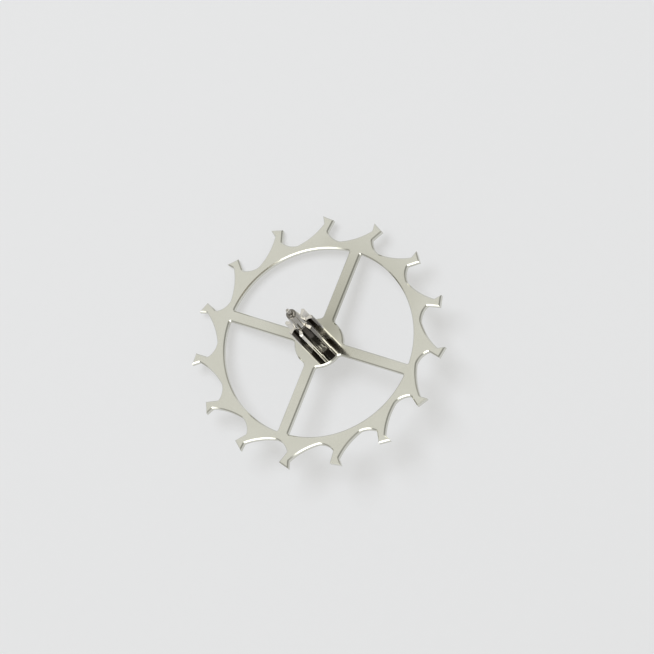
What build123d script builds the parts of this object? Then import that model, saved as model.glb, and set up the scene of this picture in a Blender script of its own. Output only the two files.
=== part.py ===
from build123d import *
import os
from math import cos, hypot, radians, sin

# A lever watch's escape wheel, riveted to its pinion.
# The origin is the end of the lower pivot, and +Z runs up the arbor to the upper pivot.
# Millimetres. The wheel is driven clockwise, seen from the upper pivot.

# The toothed wheel, blanked and milled from flat steel
tooth_count = 15
heel_radius = 4.00
impulse_rise = 0.14
club_depth = 0.24
lock_depth = 0.50
tooth_depth = 0.79
neck_round = 0.05
root_round = 0.07
rim_width = 0.24
plate_thickness = 0.20

# Where a tooth's corners lie, as shares of one tooth's pitch after the foot of its locking face
toe_share = -0.100
heel_share = 0.108
neck_share = 0.083
back_share = 0.292
valley_share = 0.688
front_share = 0.833

# How far the two hollows rise from the valley, as shares of the height that each one climbs
back_rise_share = 0.43
front_rise_share = 0.18

# The crossings, as the four spokes are called, and the hub
spoke_count = 4
spoke_width = 0.34
hub_radius = 0.76
hub_round = 0.14
crossing_round = 0.05

# The seat that the wheel is pressed on, and the rivet that holds it
seat_radius = 0.17
countersink_radius = 0.25
countersink_depth = 0.07
rivet_height = 0.035

# The pinion's leaves
leaf_count = 7
leaf_tip_radius = 0.45
leaf_root_radius = 0.235
leaf_thickness = 0.110
leaf_root_round = 0.025
leaf_end_bevel = 0.035
leaf_length = 1.90

# Where the first leaf stands, in degrees from the first crossing
leaf_turn = 173.5

# The arbor and its two pivots
lower_arbor_length = 0.76
lower_arbor_radius = 0.15
lower_shoulder_radius = 0.13
upper_arbor_length = 0.80
upper_arbor_radius = 0.22
upper_shoulder_radius = 0.155
shoulder_bevel = 0.015
arbor_groove_width = 0.05
arbor_groove_depth = 0.03
pivot_radius = 0.055
pivot_length = 0.34
pivot_root_round = 0.05
pivot_end_round = 0.022

# Heights above the lower pivot's end
lower_shoulder = pivot_length
wheel_underside = lower_shoulder + lower_arbor_length
wheel_top = wheel_underside + plate_thickness
leaf_top = wheel_top + leaf_length
upper_shoulder = leaf_top + upper_arbor_length
arbor_top = upper_shoulder + pivot_length

# Radii that follow from the sizes above
toe_radius = heel_radius - impulse_rise
neck_radius = heel_radius - club_depth
lock_foot_radius = heel_radius - lock_depth
valley_radius = heel_radius - tooth_depth
rim_inner_radius = valley_radius - rim_width

# Two points this close are the same corner
same_place = 0.001


def on_circle(radius, pitches):
    """A point of the wheel's outline, its angle counted in tooth pitches."""
    angle = radians(pitches * 360 / tooth_count)
    return radius * cos(angle), radius * sin(angle)


def tooth_lines(number):
    """One club tooth, from the foot of its locking face to the foot of the next one."""
    back_rise = back_rise_share * (neck_radius - valley_radius)
    front_rise = front_rise_share * (lock_foot_radius - valley_radius)
    foot = on_circle(lock_foot_radius, number)
    toe = on_circle(toe_radius, number + toe_share)
    heel = on_circle(heel_radius, number + heel_share)
    neck = on_circle(neck_radius, number + neck_share)
    back = on_circle(valley_radius + back_rise, number + back_share)
    valley = on_circle(valley_radius, number + valley_share)
    front = on_circle(valley_radius + front_rise, number + front_share)
    next_foot = on_circle(lock_foot_radius, number + 1)
    return [
        Line(foot, toe),
        Line(toe, heel),
        Line(heel, neck),
        ThreePointArc(neck, back, valley),
        ThreePointArc(valley, front, next_foot),
    ]


def corners_at(sketch, radius):
    """The corners of a flat outline that lie on one circle about the arbor."""
    return [v for v in sketch.vertices() if abs(hypot(v.X, v.Y) - radius) < same_place]


def toothed_blank():
    """The outline of rim and teeth, filled in to the centre."""
    lines = [line for number in range(tooth_count) for line in tooth_lines(number)]
    blank = make_face(Wire(lines))
    blank = fillet(corners_at(blank, neck_radius), neck_round)
    return fillet(corners_at(blank, lock_foot_radius), root_round)


def crossings():
    """The windows between rim, spokes and hub, with their rounded corners."""
    spoke = Rectangle(rim_inner_radius, spoke_width, align=(Align.MIN, Align.CENTER))
    spokes = PolarLocations(0, spoke_count) * spoke
    windows = Circle(rim_inner_radius) - Circle(hub_radius) - spokes
    windows = fillet(corners_at(windows, rim_inner_radius), crossing_round)
    return fillet(corners_at(windows, hub_radius), hub_round)


def escape_wheel():
    """The finished wheel, bored for the seat and countersunk below for the rivet."""
    flat = toothed_blank() - crossings() - Circle(seat_radius)
    plate = Pos(0, 0, wheel_underside) * extrude(flat, plate_thickness)
    sink = Cone(countersink_radius, seat_radius, countersink_depth,
                align=(Align.CENTER, Align.CENTER, Align.MIN))
    return plate - Pos(0, 0, wheel_underside) * sink


def pinion_leaves():
    """The leaves with round tops and radial flanks, bevelled at their upper end."""
    half = leaf_thickness / 2
    shoulder = leaf_tip_radius - half
    leaf = make_face(Wire([
        Line((0, 0), (shoulder, half)),
        ThreePointArc((shoulder, half), (leaf_tip_radius, 0), (shoulder, -half)),
        Line((shoulder, -half), (0, 0)),
    ]))
    section = Circle(leaf_root_radius) + PolarLocations(0, leaf_count, leaf_turn) * leaf
    section = fillet(corners_at(section, leaf_root_radius), leaf_root_round)
    leaves = Pos(0, 0, wheel_top) * extrude(section, leaf_length)
    envelope = Plane.XZ * make_face(Polyline([
        (0, wheel_top),
        (leaf_tip_radius, wheel_top),
        (leaf_tip_radius, leaf_top - leaf_end_bevel),
        (leaf_tip_radius - leaf_end_bevel, leaf_top),
        (0, leaf_top),
    ], close=True))
    return leaves & revolve(envelope, Axis.Z)


def arbor():
    """The turned arbor: pivots, shoulders, lower taper, rivet, seat, groove and upper taper."""
    pivot_core = pivot_radius - pivot_end_round
    pivot_foot = pivot_radius + pivot_root_round
    lower_face = lower_shoulder_radius - shoulder_bevel
    upper_face = upper_shoulder_radius - shoulder_bevel
    lower_root = lower_shoulder - pivot_root_round
    upper_root = upper_shoulder + pivot_root_round
    lower_rim = lower_shoulder + shoulder_bevel
    upper_rim = upper_shoulder - shoulder_bevel
    rivet_foot = wheel_underside - rivet_height
    rivet_belly = (countersink_radius + lower_arbor_radius) / 2
    core_radius = upper_arbor_radius - arbor_groove_depth
    groove_top = leaf_top + arbor_groove_width
    turning = Wire([
        Line((0, 0), (pivot_core, 0)),
        TangentArc((pivot_core, 0), (pivot_radius, pivot_end_round), tangent=(1, 0)),
        Line((pivot_radius, pivot_end_round), (pivot_radius, lower_root)),
        TangentArc((pivot_radius, lower_root), (pivot_foot, lower_shoulder), tangent=(0, 1)),
        Line((pivot_foot, lower_shoulder), (lower_face, lower_shoulder)),
        Line((lower_face, lower_shoulder), (lower_shoulder_radius, lower_rim)),
        Line((lower_shoulder_radius, lower_rim), (lower_arbor_radius, rivet_foot)),
        Line((lower_arbor_radius, rivet_foot), (rivet_belly, rivet_foot)),
        TangentArc((rivet_belly, rivet_foot), (countersink_radius, wheel_underside), tangent=(1, 0)),
        Line((countersink_radius, wheel_underside), (seat_radius, wheel_underside + countersink_depth)),
        Line((seat_radius, wheel_underside + countersink_depth), (seat_radius, wheel_top)),
        Line((seat_radius, wheel_top), (core_radius, wheel_top)),
        Line((core_radius, wheel_top), (core_radius, groove_top)),
        Line((core_radius, groove_top), (upper_arbor_radius, groove_top)),
        Line((upper_arbor_radius, groove_top), (upper_shoulder_radius, upper_rim)),
        Line((upper_shoulder_radius, upper_rim), (upper_face, upper_shoulder)),
        Line((upper_face, upper_shoulder), (pivot_foot, upper_shoulder)),
        TangentArc((pivot_radius, upper_root), (pivot_foot, upper_shoulder), tangent=(0, -1)),
        Line((pivot_radius, upper_root), (pivot_radius, arbor_top - pivot_end_round)),
        TangentArc((pivot_core, arbor_top), (pivot_radius, arbor_top - pivot_end_round), tangent=(1, 0)),
        Line((pivot_core, arbor_top), (0, arbor_top)),
        Line((0, arbor_top), (0, 0)),
    ])
    return revolve(Plane.XZ * make_face(turning), Axis.Z)


def escape_pinion():
    """Leaves and arbor, turned and cut from one bar."""
    return arbor() + pinion_leaves()


os.makedirs("parts", exist_ok=True)
export_step(escape_wheel(), "parts/escape_wheel.step")
export_step(escape_pinion(), "parts/escape_pinion.step")
print("over the teeth", 2 * heel_radius, "over the pivots", arbor_top)
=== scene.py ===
import math

import bmesh
import bpy
from mathutils import Matrix, Vector


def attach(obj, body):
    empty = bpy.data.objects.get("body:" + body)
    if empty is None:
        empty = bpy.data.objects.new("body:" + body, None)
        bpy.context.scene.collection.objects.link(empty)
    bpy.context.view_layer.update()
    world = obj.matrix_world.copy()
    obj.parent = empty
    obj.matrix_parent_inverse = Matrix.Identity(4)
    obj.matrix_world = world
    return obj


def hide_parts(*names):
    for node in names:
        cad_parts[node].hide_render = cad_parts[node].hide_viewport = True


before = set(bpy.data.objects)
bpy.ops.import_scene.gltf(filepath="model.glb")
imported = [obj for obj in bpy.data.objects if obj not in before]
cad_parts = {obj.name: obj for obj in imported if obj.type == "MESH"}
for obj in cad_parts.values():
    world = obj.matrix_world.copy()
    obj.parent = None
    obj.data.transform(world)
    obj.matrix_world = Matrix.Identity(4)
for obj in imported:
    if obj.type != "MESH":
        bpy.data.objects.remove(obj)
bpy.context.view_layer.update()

# The toothed wheel: rim, fifteen club teeth, four crossings and hub in one plate of hardened steel.
# It is blanked, its teeth are milled, and its flat faces and edges are polished; the hub is bored
# and countersunk below for the pinion's rivet. Lengths are in millimetres, as on the drawing.
mm = 0.001
wheel_sizes = {
    "Tooth Count": 15,
    "Heel Radius": 4.00,
    "Impulse Rise": 0.14,
    "Club Depth": 0.24,
    "Lock Depth": 0.50,
    "Tooth Depth": 0.79,
    "Neck Round": 0.05,
    "Root Round": 0.07,
    # Where a tooth's corners lie, as shares of the pitch after the foot of its locking face
    "Toe Share": -0.100,
    "Heel Share": 0.108,
    "Neck Share": 0.083,
    "Back Share": 0.292,
    "Valley Share": 0.688,
    "Front Share": 0.833,
    # How far the two hollows have risen there, as shares of their whole climb from the valley
    "Back Rise Share": 0.43,
    "Front Rise Share": 0.18,
    "Rim Width": 0.24,
    "Crossing Count": 4,
    "Crossing Width": 0.34,
    "Crossing Round": 0.05,
    "Hub Radius": 0.76,
    "Hub Round": 0.14,
    "Seat Radius": 0.17,
    "Sink Radius": 0.25,
    "Sink Depth": 0.07,
    "Plate Thickness": 0.20,
    "Underside Height": 1.10,
}
underside = wheel_sizes["Underside Height"]
wheel_top = underside + wheel_sizes["Plate Thickness"]
top_bevel, lower_bevel = 0.036, 0.02
same_place = 0.0005


class Size:
    """A length, angle or share inside a node tree, worked with like any number."""

    def __init__(self, tree, socket):
        self.tree = tree
        self.socket = socket

    def worked(self, operation, *others):
        return result_of(self.tree, operation, self, *others)

    def __add__(self, other):
        return self.worked("ADD", other)

    def __sub__(self, other):
        return self.worked("SUBTRACT", other)

    def __mul__(self, other):
        return self.worked("MULTIPLY", other)

    def __truediv__(self, other):
        return self.worked("DIVIDE", other)

    def __rtruediv__(self, other):
        return result_of(self.tree, "DIVIDE", other, self)

    def __neg__(self):
        return self.worked("MULTIPLY", -1.0)


def result_of(tree, operation, *values):
    """What a sum on sizes and plain numbers comes to."""
    node = tree.nodes.new("ShaderNodeMath")
    node.operation = operation
    for socket, value in zip(node.inputs, values):
        give(tree, value, socket)
    return Size(tree, node.outputs[0])


def give(tree, value, socket):
    """Feeds a socket with a size, another node's output, or a plain value."""
    if isinstance(value, Size):
        tree.links.new(value.socket, socket)
    elif isinstance(value, bpy.types.NodeSocket):
        tree.links.new(value, socket)
    else:
        socket.default_value = value


def step(tree, kind, inputs, output=0, **choices):
    """Adds one node to a tree, makes its choices, feeds its inputs and hands back one output."""
    node = tree.nodes.new(kind)
    for name, value in choices.items():
        setattr(node, name, value)
    for name, value in inputs.items():
        give(tree, value, node.inputs[name])
    return node.outputs[output]


def joined(tree, parts):
    """Several geometries as one."""
    node = tree.nodes.new("GeometryNodeJoinGeometry")
    for part in parts:
        tree.links.new(part, node.inputs[0])
    return node.outputs[0]


def place(tree, x, y, z=0.0):
    """A point or an arrow from its three coordinates."""
    return step(tree, "ShaderNodeCombineXYZ", {"X": x, "Y": y, "Z": z})


def split(tree, spot):
    """The three coordinates of a point or an arrow."""
    node = tree.nodes.new("ShaderNodeSeparateXYZ")
    give(tree, spot, node.inputs[0])
    return [Size(tree, socket) for socket in node.outputs]


def on_angle(tree, radius, angle):
    """A point on a circle about the arbor."""
    return place(tree, radius * angle.worked("COSINE"), radius * angle.worked("SINE"))


def turn_by(tree, angle):
    """A turn about the arbor."""
    return step(tree, "FunctionNodeEulerToRotation", {"Euler": place(tree, 0.0, 0.0, angle)})


def straight(tree, start, end):
    """A straight line between two points."""
    return step(tree, "GeometryNodeCurvePrimitiveLine", {"Start": start, "End": end})


def arc_through(tree, start, middle, end, spots):
    """An arc through three points."""
    inputs = {"Resolution": spots, "Start": start, "Middle": middle, "End": end}
    return step(tree, "GeometryNodeCurveArc", inputs, mode="POINTS")


def arc_about(tree, centre, radius, start, sweep, spots):
    """An arc about a centre, from one angle through another."""
    inputs = {"Resolution": spots, "Radius": radius, "Start Angle": start, "Sweep Angle": sweep}
    arc = step(tree, "GeometryNodeCurveArc", inputs)
    return step(tree, "GeometryNodeTransform", {"Geometry": arc, "Translation": centre})


def marked_corners(tree, lines, corners):
    """Notes beside each named corner the radius that it is to be rounded to."""
    spot = step(tree, "GeometryNodeInputPosition", {})
    rounding = 0.0
    for corner, radius in corners:
        away = step(tree, "ShaderNodeVectorMath", {0: spot, 1: corner}, "Value",
                    operation="DISTANCE")
        rounding = radius * Size(tree, away).worked("LESS_THAN", 2 * same_place) + rounding
    inputs = {"Geometry": lines, "Name": "rounding", "Value": rounding}
    return step(tree, "GeometryNodeStoreNamedAttribute", inputs)


def ring_of(tree, lines, count, first_angle=0.0):
    """Repeats lines evenly about the arbor and closes them into loops."""
    number = Size(tree, step(tree, "GeometryNodeInputIndex", {}))
    angle = number * math.tau / count + first_angle
    wires = step(tree, "GeometryNodeCurveToMesh", {"Curve": lines})
    spots = step(tree, "GeometryNodePoints", {"Count": count})
    inputs = {"Points": spots, "Instance": wires, "Rotation": turn_by(tree, angle)}
    wires = step(tree, "GeometryNodeInstanceOnPoints", inputs)
    wires = step(tree, "GeometryNodeRealizeInstances", {"Geometry": wires})
    wires = step(tree, "GeometryNodeMergeByDistance", {"Geometry": wires, "Distance": same_place})
    return step(tree, "GeometryNodeMeshToCurve", {"Mesh": wires})


def rounded(tree, loops, spots):
    """Rounds the marked corners of closed loops."""
    radius = step(tree, "GeometryNodeInputNamedAttribute", {"Name": "rounding"})
    inputs = {"Curve": loops, "Count": spots, "Radius": radius, "Limit Radius": True}
    return step(tree, "GeometryNodeFilletCurve", inputs, mode="POLY")


def raised(tree, flat, height, selection=None):
    """Raises flat faces by a height and hands back the solid's skin and its new top."""
    node = tree.nodes.new("GeometryNodeExtrudeMesh")
    tree.links.new(flat, node.inputs["Mesh"])
    if selection is not None:
        tree.links.new(selection, node.inputs["Selection"])
    give(tree, place(tree, 0.0, 0.0, 1.0), node.inputs["Offset"])
    give(tree, height, node.inputs["Offset Scale"])
    node.inputs["Individual"].default_value = False
    return node.outputs["Mesh"], node.outputs["Top"]


def closed_below(tree, skin, flat, height):
    """Closes a raised skin with its first flat faces and lifts it to its height on the arbor."""
    below = step(tree, "GeometryNodeFlipFaces", {"Mesh": flat})
    inputs = {"Geometry": joined(tree, [skin, below]), "Distance": same_place}
    solid = step(tree, "GeometryNodeMergeByDistance", inputs)
    inputs = {"Geometry": solid, "Translation": place(tree, 0.0, 0.0, height)}
    return step(tree, "GeometryNodeTransform", inputs)


def sized_tree(name, sizes):
    """A new Geometry Nodes tree with a named input for every size."""
    tree = bpy.data.node_groups.new(name, "GeometryNodeTree")
    for size, value in sizes.items():
        kind = "NodeSocketInt" if isinstance(value, int) else "NodeSocketFloat"
        socket = tree.interface.new_socket(size, in_out="INPUT", socket_type=kind)
        socket.default_value = value
    tree.interface.new_socket("Material", in_out="INPUT", socket_type="NodeSocketMaterial")
    tree.interface.new_socket("Geometry", in_out="OUTPUT", socket_type="NodeSocketGeometry")
    entry = tree.nodes.new("NodeGroupInput")
    return tree, {socket.name: Size(tree, socket) for socket in entry.outputs if socket.name}


def finished(tree, sizes, geometry):
    """Ends a tree with real faces that carry their material."""
    geometry = step(tree, "GeometryNodeRealizeInstances", {"Geometry": geometry})
    inputs = {"Geometry": geometry, "Material": sizes["Material"]}
    geometry = step(tree, "GeometryNodeSetMaterial", inputs)
    tree.links.new(geometry, tree.nodes.new("NodeGroupOutput").inputs[0])


def made_by(tree, sizes, material, name):
    """Runs a tree once with its sizes and keeps the result as a plain mesh object."""
    maker = bpy.data.objects.new(name, bpy.data.meshes.new(name))
    bpy.context.collection.objects.link(maker)
    modifier = maker.modifiers.new("shape", "NODES")
    modifier.node_group = tree
    for item in tree.interface.items_tree:
        if item.name in sizes:
            modifier[item.identifier] = sizes[item.name]
        if item.name == "Material":
            modifier[item.identifier] = material
    view = maker.evaluated_get(bpy.context.evaluated_depsgraph_get())
    shape = bpy.data.meshes.new_from_object(view)
    maker.modifiers.clear()
    maker.data = shape
    return maker


def toothed_outline(tree, s):
    """The outline of the fifteen club teeth, their corners rounded."""
    back_spots, front_spots, corner_spots = 22, 12, 7
    pitch = math.tau / s["Tooth Count"]
    heel_radius = s["Heel Radius"]
    toe_radius = heel_radius - s["Impulse Rise"]
    neck_radius = heel_radius - s["Club Depth"]
    foot_radius = heel_radius - s["Lock Depth"]
    valley_radius = heel_radius - s["Tooth Depth"]
    back_radius = valley_radius + s["Back Rise Share"] * (neck_radius - valley_radius)
    front_radius = valley_radius + s["Front Rise Share"] * (foot_radius - valley_radius)
    foot = place(tree, foot_radius, 0.0)
    toe = on_angle(tree, toe_radius, pitch * s["Toe Share"])
    heel = on_angle(tree, heel_radius, pitch * s["Heel Share"])
    neck = on_angle(tree, neck_radius, pitch * s["Neck Share"])
    back = on_angle(tree, back_radius, pitch * s["Back Share"])
    valley = on_angle(tree, valley_radius, pitch * s["Valley Share"])
    front = on_angle(tree, front_radius, pitch * s["Front Share"])
    next_foot = on_angle(tree, foot_radius, pitch)
    tooth = joined(tree, [
        straight(tree, foot, toe),
        straight(tree, toe, heel),
        straight(tree, heel, neck),
        arc_through(tree, neck, back, valley, back_spots),
        arc_through(tree, valley, front, next_foot, front_spots),
    ])
    corners = [(neck, s["Neck Round"]), (foot, s["Root Round"]), (next_foot, s["Root Round"])]
    outline = ring_of(tree, marked_corners(tree, tooth, corners), s["Tooth Count"])
    return rounded(tree, outline, corner_spots)


def crossing_windows(tree, s):
    """The outlines of the windows that leave the four crossings, with rounded corners."""
    hub_spots, hub_corner_spots, rim_corner_spots, rim_spots = 10, 12, 8, 40
    half_width = s["Crossing Width"] / 2.0
    rim_inner = s["Heel Radius"] - s["Tooth Depth"] - s["Rim Width"]
    hub, hub_round, rim_round = s["Hub Radius"], s["Hub Round"], s["Crossing Round"]
    share = math.tau / s["Crossing Count"]
    hub_rise = half_width + hub_round
    rim_rise = half_width + rim_round
    hub_angle = (hub_rise / (hub + hub_round)).worked("ARCSINE")
    rim_angle = (rim_rise / (rim_inner - rim_round)).worked("ARCSINE")
    hub_run = (hub + hub_round) * hub_angle.worked("COSINE")
    rim_run = (rim_inner - rim_round) * rim_angle.worked("COSINE")
    centre = place(tree, 0.0, 0.0)
    quarter = math.pi / 2

    # Half of one window; its mirror image is the other half
    half = joined(tree, [
        arc_about(tree, centre, hub, hub_angle, share / 2.0 - hub_angle, hub_spots),
        arc_about(tree, place(tree, hub_run, hub_rise), hub_round,
                  -quarter, hub_angle - quarter, hub_corner_spots),
        straight(tree, place(tree, hub_run, half_width), place(tree, rim_run, half_width)),
        arc_about(tree, place(tree, rim_run, rim_rise), rim_round,
                  -quarter, rim_angle + quarter, rim_corner_spots),
        arc_about(tree, centre, rim_inner, rim_angle, share / 2.0 - rim_angle, rim_spots),
    ])
    mirrored = step(tree, "GeometryNodeTransform", {"Geometry": half, "Scale": (1.0, -1.0, 1.0)})
    inputs = {"Geometry": mirrored, "Rotation": turn_by(tree, share)}
    other_half = step(tree, "GeometryNodeTransform", inputs)
    return ring_of(tree, joined(tree, [half, other_half]), s["Crossing Count"])


def toothed_wheel_tree():
    """The wheel's shape: outline, windows and bore, raised to the plate's thickness."""
    tree, s = sized_tree("toothed_wheel", wheel_sizes)
    bore_spots = 96
    inputs = {"Resolution": bore_spots, "Radius": s["Sink Radius"]}
    bore = step(tree, "GeometryNodeCurvePrimitiveCircle", inputs)
    loops = joined(tree, [toothed_outline(tree, s), crossing_windows(tree, s), bore])
    flat = step(tree, "GeometryNodeFillCurve", {"Curve": loops}, mode="NGONS")
    skin, top = raised(tree, flat, s["Sink Depth"])

    # The countersink narrows to the bore over its depth; no other edge is as near to the middle
    spot = step(tree, "GeometryNodeInputPosition", {})
    away = step(tree, "ShaderNodeVectorMath", {0: spot}, "Value", operation="LENGTH")
    on_bore = Size(tree, away).worked("LESS_THAN", s["Sink Radius"] * 1.1)
    above = split(tree, spot)[2].worked("GREATER_THAN", s["Sink Depth"] / 2.0)
    narrowing = s["Seat Radius"] / s["Sink Radius"]
    inputs = {0: spot, 1: place(tree, narrowing, narrowing, 1.0)}
    closer = step(tree, "ShaderNodeVectorMath", inputs, operation="MULTIPLY")
    inputs = {"Geometry": skin, "Selection": on_bore * above, "Position": closer}
    skin = step(tree, "GeometryNodeSetPosition", inputs)
    skin, _ = raised(tree, skin, s["Plate Thickness"] - s["Sink Depth"], top)
    finished(tree, s, closed_below(tree, skin, flat, s["Underside Height"]))
    return tree


def cleaned(piece):
    """A piece's mesh, ready for edge work, with no doubled corners or empty faces."""
    form = bmesh.new()
    form.from_mesh(piece.data)
    bmesh.ops.remove_doubles(form, verts=form.verts, dist=same_place)
    bmesh.ops.dissolve_degenerate(form, edges=form.edges, dist=same_place)
    return form


def looks_along(face, side):
    """Whether a face looks up the arbor, or down it where side is -1."""
    nearly_straight = 0.99
    return face.normal.z * side > nearly_straight


def shaded(form, piece, turn):
    """Keeps sharp edges and the borders of flat faces sharp, and brings millimetres to metres."""
    for face in form.faces:
        face.smooth = True
    for edge in form.edges:
        flat = [looks_along(face, 1) or looks_along(face, -1) for face in edge.link_faces]
        edge.smooth = edge.calc_face_angle(0.0) < turn and flat.count(True) != 1
    bmesh.ops.scale(form, vec=(mm, mm, mm), verts=form.verts)
    form.to_mesh(piece.data)
    form.free()


def bevelled_plate(piece, upper, lower, turn):
    """Cuts a narrow polished bevel along every edge of a flat plate's two faces."""
    form = cleaned(piece)
    for side, width in ((1, upper), (-1, lower)):
        flat = [face for face in form.faces if looks_along(face, side)]
        corners = {vert for face in flat for vert in face.verts}
        bmesh.ops.translate(form, verts=list(corners), vec=(0, 0, -side * width))
        bmesh.ops.inset_region(form, faces=flat, thickness=width, depth=width,
                               use_boundary=True, use_even_offset=True)
    shaded(form, piece, turn)


def fade(tree, value, start, end):
    """A soft step from 0 to 1 between two values."""
    inputs = {"Value": value, "From Min": start, "From Max": end}
    share = step(tree, "ShaderNodeMapRange", inputs, "Result", interpolation_type="SMOOTHSTEP")
    return Size(tree, share)


def fade_between(tree, length, start, end):
    """A soft step from 0 to 1 between two lengths in millimetres."""
    return fade(tree, length, start * mm, end * mm)


def blended(tree, share, below, above):
    """Two colours blended by a share."""
    factor_in, below_in, above_in, colour_out = 0, 6, 7, 2
    inputs = {factor_in: share, below_in: below, above_in: above}
    return step(tree, "ShaderNodeMix", inputs, colour_out, data_type="RGBA")


def own_spot(tree):
    """Where a point lies in its own piece."""
    return step(tree, "ShaderNodeTexCoord", {}, "Object")


def noise(tree, spot, scale, detail, roughness=0.5):
    """Cloudy noise between 0 and 1, its scale counted per metre."""
    inputs = {"Vector": spot, "Scale": scale, "Detail": detail, "Roughness": roughness}
    return Size(tree, step(tree, "ShaderNodeTexNoise", inputs))


def steel_finish():
    """Shared node group: the slow stain, fine grain and wear that worked steel shows close up."""
    group = bpy.data.node_groups.new("steel_finish", "ShaderNodeTree")
    for name, side, kind in (
        ("Bright Steel", "INPUT", "NodeSocketColor"),
        ("Dull Steel", "INPUT", "NodeSocketColor"),
        ("Grain", "INPUT", "NodeSocketFloat"),
        ("Polish", "INPUT", "NodeSocketFloat"),
        ("Haze", "INPUT", "NodeSocketFloat"),
        ("Marks", "INPUT", "NodeSocketVector"),
        ("Colour", "OUTPUT", "NodeSocketColor"),
        ("Roughness", "OUTPUT", "NodeSocketFloat"),
        ("Height", "OUTPUT", "NodeSocketFloat"),
    ):
        group.interface.new_socket(name, in_out=side, socket_type=kind)
    entry = group.nodes.new("NodeGroupInput").outputs
    leave = group.nodes.new("NodeGroupOutput").inputs
    spot = own_spot(group)
    cloud = noise(group, spot, scale=900.0, detail=4.0, roughness=0.55)
    grain = noise(group, entry["Marks"], scale=1.0, detail=3.0, roughness=0.6)
    specks = noise(group, spot, scale=16000.0, detail=2.0, roughness=0.7)

    # The stain is mostly cloud; its contrast is raised before it mixes the two colours
    stain = cloud * 0.7 + specks * 0.3
    dull = (stain - 0.3) * 2.2
    colour = blended(group, dull, entry["Bright Steel"], entry["Dull Steel"])
    give(group, colour, leave["Colour"])
    roughness = Size(group, entry["Polish"]) + Size(group, entry["Haze"]) * stain
    give(group, roughness, leave["Roughness"])
    give(group, grain * Size(group, entry["Grain"]) + specks * 0.15, leave["Height"])
    return group


def steel_material(name, finish, settings, marks, relief):
    """A steel whose grain runs the way that the piece was worked, its marks counted per metre."""
    grain_depth = 0.0005
    material = bpy.data.materials.new(name)
    material.use_nodes = True
    tree = material.node_tree
    surface = tree.nodes["Principled BSDF"].inputs
    surface["Metallic"].default_value = 1.0
    worked = tree.nodes.new("ShaderNodeGroup")
    worked.node_tree = finish
    for socket, value in settings.items():
        worked.inputs[socket].default_value = value
    lines = step(tree, "ShaderNodeMapping", {"Vector": own_spot(tree), "Scale": marks})
    give(tree, lines, worked.inputs["Marks"])
    inputs = {"Strength": relief, "Distance": grain_depth * mm, "Height": worked.outputs["Height"]}
    give(tree, step(tree, "ShaderNodeBump", inputs), surface["Normal"])
    give(tree, worked.outputs["Colour"], surface["Base Color"])
    give(tree, worked.outputs["Roughness"], surface["Roughness"])
    return material


def nearness(tree, centre, reach):
    """A ball about a place in a piece: 1 at its centre, falling to 0 at its reach."""
    shift = [-along / reach for along in centre]
    share = 1 / (reach * mm)
    inputs = {"Vector": own_spot(tree), "Location": shift, "Scale": (share, share, share)}
    moved = step(tree, "ShaderNodeMapping", inputs)
    ball = step(tree, "ShaderNodeTexGradient", {"Vector": moved}, "Fac", gradient_type="SPHERICAL")
    return Size(tree, ball)


def coloured_over(material, amount, colour):
    """Lays a colour over what already colours a material."""
    tree = material.node_tree
    base = tree.nodes["Principled BSDF"].inputs["Base Color"]
    give(tree, blended(tree, amount, base.links[0].from_socket, colour), base)


def roughened(material, amount):
    """Adds to a material's roughness."""
    tree = material.node_tree
    roughness = tree.nodes["Principled BSDF"].inputs["Roughness"]
    give(tree, Size(tree, roughness.links[0].from_socket) + amount, roughness)


def satin_beyond(material, inner, outer, share):
    """A steel piece's polish is brighter about its middle than farther out."""
    tree = material.node_tree
    x, y, _ = split(tree, own_spot(tree))
    radius = (x * x + y * y).worked("SQRT")
    roughened(material, fade_between(tree, radius, inner, outer) * share)


def painted_shade_about(material, centre, reach, depth, colour):
    """A soft painted shade that darkens a steel piece's colour about one place."""
    coloured_over(material, nearness(material.node_tree, centre, reach) * depth, colour)


finish = steel_finish()
wheel_steel = steel_material(
    "wheel_steel", finish,
    {"Bright Steel": (0.71, 0.71, 0.65, 1.0), "Dull Steel": (0.65, 0.645, 0.58, 1.0),
     "Grain": 0.6, "Polish": 0.03, "Haze": 0.06},
    marks=(6000.0, 90000.0, 6000.0), relief=0.25,
)
satin_beyond(wheel_steel, inner=0.80, outer=0.92, share=0.06)
# Painted shade, broad and soft, over part of the spokes and the hub
painted_shade_about(wheel_steel, centre=(-0.35, -1.15, wheel_top), reach=2.6, depth=0.65,
        colour=(0.40, 0.39, 0.32, 1.0))
# Painted shade on the hub beside the pinion's foot
painted_shade_about(wheel_steel, centre=(-0.05, -0.50, wheel_top), reach=0.7, depth=0.60,
        colour=(0.35, 0.34, 0.28, 1.0))
wheel = made_by(toothed_wheel_tree(), wheel_sizes, wheel_steel, "toothed_wheel")
bevelled_plate(wheel, upper=top_bevel, lower=lower_bevel, turn=math.radians(35))
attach(wheel, "root")
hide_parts("escape_wheel")

# The pinion and its arbor: one bar of hardened steel, turned between centres. Seven leaves are
# cut in it and polished; above them the arbor tapers to the upper pivot. Below, a seat holds the
# wheel, and its edge is spread as a rivet into the wheel's countersink.
leaf_sizes = {
    "Leaf Count": 7,
    "Tip Radius": 0.45,
    "Root Radius": 0.235,
    "Leaf Thickness": 0.110,
    "Root Round": 0.025,
    "Leaf Length": 1.90,
    "First Leaf Angle": math.radians(173.5),
    "Foot Height": wheel_top,
}
tip_radius = leaf_sizes["Tip Radius"]
leaf_top = wheel_top + leaf_sizes["Leaf Length"]
leaf_bevel = 0.035
seat_radius, sink_radius = wheel_sizes["Seat Radius"], wheel_sizes["Sink Radius"]
pivot_radius, pivot_length, pivot_root, pivot_round = 0.055, 0.34, 0.05, 0.022
lower_radius, lower_shoulder_radius, rivet_height = 0.15, 0.13, 0.035
upper_length, upper_radius, shoulder_radius = 0.80, 0.22, 0.155
groove_width, groove_depth, shoulder_bevel = 0.05, 0.03, 0.015
upper_shoulder = leaf_top + upper_length
arbor_top = upper_shoulder + pivot_length
turning_steps = 96


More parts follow.
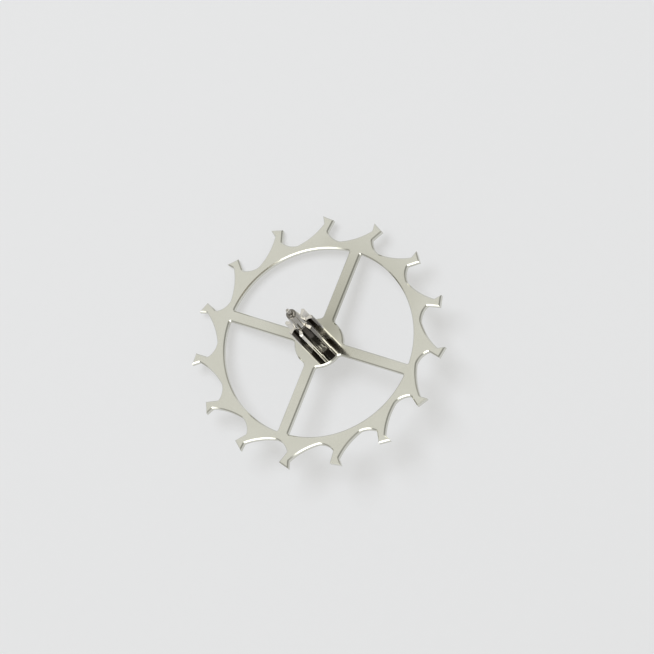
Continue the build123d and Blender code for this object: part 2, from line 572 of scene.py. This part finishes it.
def leaves_tree():
    """Seven leaves with radial flanks and round tops on their root circle."""
    bottom_spots, crown_spots, corner_spots = 3, 15, 6
    tree, s = sized_tree("pinion_leaves", leaf_sizes)
    pitch = math.tau / s["Leaf Count"]
    tip, root, half = s["Tip Radius"], s["Root Radius"], s["Leaf Thickness"] / 2.0
    crown = tip - half
    flank = (half / crown).worked("ARCTANGENT")
    foot = on_angle(tree, root, flank)
    low_foot = on_angle(tree, root, -flank)
    bottom = on_angle(tree, root, pitch / 2.0)
    low_bottom = on_angle(tree, root, pitch / -2.0)
    hollow = on_angle(tree, root, (flank + pitch / 2.0) / 2.0)
    low_hollow = on_angle(tree, root, (flank + pitch / 2.0) / -2.0)
    leaf = joined(tree, [
        arc_through(tree, low_bottom, low_hollow, low_foot, bottom_spots),
        straight(tree, low_foot, place(tree, crown, -half)),
        arc_through(tree, place(tree, crown, -half), place(tree, tip, 0.0),
                    place(tree, crown, half), crown_spots),
        straight(tree, place(tree, crown, half), foot),
        arc_through(tree, foot, hollow, bottom, bottom_spots),
    ])
    corners = [(foot, s["Root Round"]), (low_foot, s["Root Round"])]
    leaf = marked_corners(tree, leaf, corners)
    outline = ring_of(tree, leaf, s["Leaf Count"], s["First Leaf Angle"])
    outline = rounded(tree, outline, corner_spots)
    flat = step(tree, "GeometryNodeFillCurve", {"Curve": outline}, mode="NGONS")
    skin, _ = raised(tree, flat, s["Leaf Length"])
    finished(tree, s, closed_below(tree, skin, flat, s["Foot Height"]))
    return tree


def tangent_arc(start, end, upward, steps):
    """Points of an arc that leaves its start along the axis, or square to it."""
    across, along = end[0] - start[0], end[1] - start[1]
    if not upward:
        across, along = along, across
    radius = (across ** 2 + along ** 2) / (2 * across)
    sweep = math.asin(max(-1.0, min(1.0, along / radius)))
    points = []
    for number in range(steps + 1):
        angle = sweep * number / steps
        shift = radius - radius * math.cos(angle), radius * math.sin(angle)
        if not upward:
            shift = shift[1], shift[0]
        points.append((start[0] + shift[0], start[1] + shift[1]))
    return points


def turned_body(name, profile):
    """A closed body turned from a profile of radii and heights; its ends lie on the axis."""
    form = bmesh.new()
    rings = []
    for radius, height in profile:
        if radius == 0:
            rings.append([form.verts.new((0, 0, height))])
            continue
        angles = [math.tau * number / turning_steps for number in range(turning_steps)]
        ring = [form.verts.new((radius * math.cos(a), radius * math.sin(a), height)) for a in angles]
        rings.append(ring)
    for low, high in zip(rings, rings[1:]):
        for number in range(turning_steps):
            after = (number + 1) % turning_steps
            corners = [low[number % len(low)], low[after % len(low)],
                       high[after % len(high)], high[number % len(high)]]
            form.faces.new(list(dict.fromkeys(corners)))
    bmesh.ops.recalc_face_normals(form, faces=form.faces)
    shape = bpy.data.meshes.new(name)
    form.to_mesh(shape)
    form.free()
    body = bpy.data.objects.new(name, shape)
    bpy.context.collection.objects.link(body)
    return body


def cut_together(first, second, operation):
    """Adds or intersects two closed bodies into the first, and clears the second away."""
    modifier = first.modifiers.new("cut", "BOOLEAN")
    modifier.operation = operation
    modifier.solver = "EXACT"
    modifier.object = second
    view = first.evaluated_get(bpy.context.evaluated_depsgraph_get())
    shape = bpy.data.meshes.new_from_object(view)
    first.modifiers.clear()
    first.data = shape
    bpy.data.objects.remove(second)
    return first


def eased(piece, width, turn):
    """Rounds the sharp edges over a small width."""
    form = cleaned(piece)
    sharp = [edge for edge in form.edges if edge.calc_face_angle(0.0) > turn]
    bmesh.ops.bevel(form, geom=sharp, offset=width, offset_type="OFFSET", segments=3,
                    profile=0.5, affect="EDGES", clamp_overlap=True)
    shaded(form, piece, turn)


def arbor_profile():
    """Radii and heights up the arbor, from the lower pivot's end to the upper one's."""
    round_steps, root_steps = 5, 8
    pivot_core = pivot_radius - pivot_round
    pivot_foot = pivot_radius + pivot_root
    arbor_core = upper_radius - groove_depth
    rivet_foot = underside - rivet_height
    rivet_belly = (sink_radius + lower_radius) / 2

    # The seat widens to the core inside the leaves, where the step isn't seen
    hidden_step = wheel_top + 0.1
    return [
        (0, 0),
        *tangent_arc((pivot_core, 0), (pivot_radius, pivot_round), False, round_steps),
        *tangent_arc((pivot_radius, pivot_length - pivot_root), (pivot_foot, pivot_length),
                     True, root_steps),
        (lower_shoulder_radius - shoulder_bevel, pivot_length),
        (lower_shoulder_radius, pivot_length + shoulder_bevel),
        (lower_radius, rivet_foot),
        *tangent_arc((rivet_belly, rivet_foot), (sink_radius, underside), False, round_steps),
        (seat_radius, underside + wheel_sizes["Sink Depth"]),
        (seat_radius, hidden_step),
        (arbor_core, hidden_step),
        (arbor_core, leaf_top + groove_width),
        (upper_radius, leaf_top + groove_width),
        (shoulder_radius, upper_shoulder - shoulder_bevel),
        (shoulder_radius - shoulder_bevel, upper_shoulder),
        *reversed(tangent_arc((pivot_radius, upper_shoulder + pivot_root),
                              (pivot_foot, upper_shoulder), True, root_steps)),
        *reversed(tangent_arc((pivot_core, arbor_top), (pivot_radius, arbor_top - pivot_round),
                              False, round_steps)),
        (0, arbor_top),
    ]


def pinion_darkening_and_shade(material, unshaded_spot, shaded_leaf_spot):
    """Darkens the pinion in dark brown: painted shade in one side's hollows, about the taper's
    shoulder and over one leaf, and a darker taper.
    """
    side_x, side_y = -0.896, 0.445
    crown, soft_edge = tip_radius - 0.028, 0.012
    tree = material.node_tree
    x, y, z = split(tree, own_spot(tree))
    radius = (x * x + y * y).worked("SQRT")
    facing = x * side_x + y * side_y
    sideways = y * side_x - x * side_y
    below_end = z.worked("LESS_THAN", (leaf_top - soft_edge) * mm)

    # Painted shade in the hollows between the leaves' crowns, on the side given above, but for one
    # spot left unshaded
    hollows = fade_between(tree, radius, crown + soft_edge, crown - soft_edge)
    one_side = fade_between(tree, facing, -0.10, 0.0) * fade_between(tree, sideways, 0.37, 0.33)
    kept = fade(tree, nearness(tree, unshaded_spot, reach=0.4), 0.50, 0.30)

    # Painted shade over the crown of one leaf and about the shoulder below the upper pivot; the
    # taper above the groove is darkened as well
    shaded_leaf = fade(tree, nearness(tree, shaded_leaf_spot, reach=0.8), 0.10, 0.45)
    shaded_leaf = shaded_leaf * fade_between(tree, sideways, -0.17, -0.05)
    taper = fade_between(tree, z, leaf_top + 0.06, leaf_top + 0.12)
    shoulder = fade_between(tree, z, upper_shoulder - 0.03, upper_shoulder - 0.015)
    shoulder = shoulder * fade_between(tree, z, upper_shoulder + 0.06, upper_shoulder + 0.03)

    amount = hollows * below_end * one_side * kept + taper * 0.45 + shoulder * 0.3
    amount = amount.worked("MAXIMUM", shaded_leaf * below_end * 0.75)
    patches = noise(tree, own_spot(tree), scale=9000.0, detail=3.0, roughness=0.6)
    brown = blended(tree, patches, (0.022, 0.019, 0.015, 1.0), (0.085, 0.070, 0.053, 1.0))
    coloured_over(material, amount, brown)
    roughened(material, amount * 0.08)


pinion_steel = steel_material(
    "pinion_steel", finish,
    {"Bright Steel": (0.74, 0.72, 0.68, 1.0), "Dull Steel": (0.62, 0.59, 0.54, 1.0),
     "Grain": 0.5, "Polish": 0.03, "Haze": 0.05},
    marks=(9000.0, 9000.0, 60000.0), relief=0.2,
)
# Painted shade in the pinion's hollows on one side and over one leaf, but for a spot at one hollow's
# foot; the taper is darkened too
pinion_darkening_and_shade(pinion_steel, unshaded_spot=(-0.30, 0.20, wheel_top + 0.08),
            shaded_leaf_spot=(-0.43, 0.05, wheel_top + 1.4))
leaves = made_by(leaves_tree(), leaf_sizes, pinion_steel, "pinion_leaves")
envelope = turned_body("leaf_envelope", [
    (0, wheel_top - leaf_bevel),
    (tip_radius + leaf_bevel, wheel_top - leaf_bevel),
    (tip_radius + leaf_bevel, leaf_top - 2 * leaf_bevel),
    (tip_radius - leaf_bevel, leaf_top),
    (0, leaf_top),
])
leaves = cut_together(leaves, envelope, "INTERSECT")
pinion = turned_body("pinion_and_arbor", arbor_profile())
pinion = cut_together(pinion, leaves, "UNION")
pinion.data.materials.clear()
pinion.data.materials.append(pinion_steel)
eased(pinion, width=0.005, turn=math.radians(38))
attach(pinion, "root")
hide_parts("escape_pinion")

# The paper that the wheel lies on. The lower pivot and two teeth touch it, so it slopes under
# the wheel; from below it can be seen through.
lowest_teeth = (-2, -1)
paper_drop = 0.012
paper_radius = 150
tooth_pitch = math.tau / wheel_sizes["Tooth Count"]
heel_radius = wheel_sizes["Heel Radius"]
heels = []
for number in lowest_teeth:
    angle = tooth_pitch * (number + wheel_sizes["Heel Share"])
    heels.append(Vector((heel_radius * math.cos(angle), heel_radius * math.sin(angle), underside)))
paper_normal = heels[0].cross(heels[1]).normalized()
paper = bpy.data.objects.new("paper", bpy.data.meshes.new("paper"))
bpy.context.collection.objects.link(paper)
form = bmesh.new()
bmesh.ops.create_circle(form, cap_ends=True, segments=128, radius=paper_radius * mm)
form.to_mesh(paper.data)
form.free()
paper.matrix_world = (Matrix.Translation(paper_normal * -paper_drop * mm)
                      @ paper_normal.to_track_quat("Z", "Y").to_matrix().to_4x4())
card = bpy.data.materials.new("paper")
card.use_nodes = True
tree = card.node_tree
surface = tree.nodes["Principled BSDF"]
surface.inputs["Roughness"].default_value = 0.95
surface.inputs["Specular IOR Level"].default_value = 0.1
# Painted light: the paper also glows evenly, standing in for light that spreads through paper, so
# the shadows on it stay shallow
surface.inputs["Emission Color"].default_value = (0.785, 0.785, 0.785, 1.0)
surface.inputs["Emission Strength"].default_value = 0.555
fibres = noise(tree, own_spot(tree), scale=3000.0, detail=3.0)
shade = blended(tree, fibres, (0.388, 0.388, 0.388, 1.0), (0.396, 0.396, 0.396, 1.0))
give(tree, shade, surface.inputs["Base Color"])
underneath = step(tree, "ShaderNodeNewGeometry", {}, "Backfacing")
clear = step(tree, "ShaderNodeBsdfTransparent", {})
either = step(tree, "ShaderNodeMixShader", {0: underneath, 1: surface.outputs[0], 2: clear})
give(tree, either, tree.nodes["Material Output"].inputs["Surface"])
paper.data.materials.append(card)

# The light: a pale surround and one soft lamp from the upper left. Polished steel shows a room
# too: pale walls that darken low down, a dark side where the camera stands, and bright windows.
camera_azimuth = math.radians(153.65)
camera_elevation = math.radians(64.13)
camera_roll = math.radians(-44.10)


def direction(azimuth, elevation):
    """The arrow that points to an azimuth and an elevation."""
    level = math.cos(elevation)
    return Vector((level * math.cos(azimuth), level * math.sin(azimuth), math.sin(elevation)))


camera_back = direction(camera_azimuth, camera_elevation)
level_right = direction(camera_azimuth + math.pi / 2, 0.0)
level_up = camera_back.cross(level_right)
camera_right = level_right * math.cos(camera_roll) + level_up * math.sin(camera_roll)
camera_up = camera_back.cross(camera_right)

world = bpy.data.worlds.new("pale_surround")
world.use_nodes = True
tree = world.node_tree
toward = step(tree, "ShaderNodeTexCoord", {}, "Generated")
low = fade(tree, split(tree, toward)[2], 0.60, 0.45)
room = blended(tree, low, (0.87, 0.865, 0.83, 1.0), (0.48, 0.475, 0.45, 1.0))

# Round patches of the room: elevation, turn from the camera's side, and inner and outer radius,
# all in degrees, then the colour
for elevation, turn, inner, outer, colour in (
    # The dark side where the camera stands, and a bright panel overhead
    (64, -12, 17, 26, (0.20, 0.20, 0.19, 1.0)),
    (84, -176, 10, 14, (1.25, 1.25, 1.2, 1.0)),
    # A high window on either side
    (64, 90, 22, 30, (2.5, 2.5, 2.4, 1.0)),
    (64, -122, 9, 13, (2.2, 2.2, 2.1, 1.0)),
    # A dark corner and a bright window low down
    (20, 44, 14, 30, (0.38, 0.38, 0.36, 1.0)),
    (22, -46, 20, 34, (2.8, 2.8, 2.7, 1.0)),
):
    middle = direction(camera_azimuth + math.radians(turn), math.radians(elevation))
    near = step(tree, "ShaderNodeVectorMath", {0: toward, 1: middle}, "Value",
                operation="DOT_PRODUCT")
    edge, rim = math.cos(math.radians(outer)), math.cos(math.radians(inner))
    room = blended(tree, fade(tree, near, edge, rim), room, colour)
ray = tree.nodes.new("ShaderNodeLightPath").outputs
lit = blended(tree, ray["Is Glossy Ray"], (0.52, 0.515, 0.49, 1.0), room)
shown = blended(tree, ray["Is Camera Ray"], lit, (0.68, 0.68, 0.68, 1.0))
give(tree, shown, tree.nodes["Background"].inputs["Color"])
bpy.context.scene.world = world

lamp_distance, lamp_width, lamp_radiance = 200, 92, 8.6
lamp_turn = math.radians(32)
upper_left = (camera_up - camera_right).normalized()
lamp_side = camera_back * math.cos(lamp_turn) + upper_left * math.sin(lamp_turn)
lamp = bpy.data.lights.new("soft_lamp", "AREA")
lamp.shape = "DISK"
lamp.size = lamp_width * mm
lamp.energy = lamp_radiance * math.pi * math.pi * (lamp.size / 2) ** 2
lamp.color = (0.88, 0.92, 1.0)
lamp_object = bpy.data.objects.new("soft_lamp", lamp)
bpy.context.collection.objects.link(lamp_object)
lamp_object.location = lamp_side * lamp_distance * mm
lamp_object.rotation_euler = lamp_side.to_track_quat("Z", "Y").to_euler()
lamp_object.visible_glossy = False

# The camera, far off and nearly square to the paper, at the photograph's angle. The picture's
# middle lies a little to the right of the wheel's and above it.
frame_width = 19.57
camera_distance = 450.0
middle_right, middle_up = 0.256, 0.454
camera = bpy.data.cameras.new("camera")
camera.sensor_width = 36.0
camera.lens = camera.sensor_width * camera_distance / frame_width
camera.clip_start = 0.01
camera.clip_end = 2.0
camera_object = bpy.data.objects.new("camera", camera)
bpy.context.collection.objects.link(camera_object)
aim = Vector((0, 0, wheel_top)) + camera_right * middle_right + camera_up * middle_up
upright = Matrix((camera_right, camera_up, camera_back)).transposed().to_4x4()
camera_object.matrix_world = Matrix.Translation((aim + camera_back * camera_distance) * mm) @ upright
scene = bpy.context.scene
scene.camera = camera_object
scene.view_settings.view_transform = "Standard"
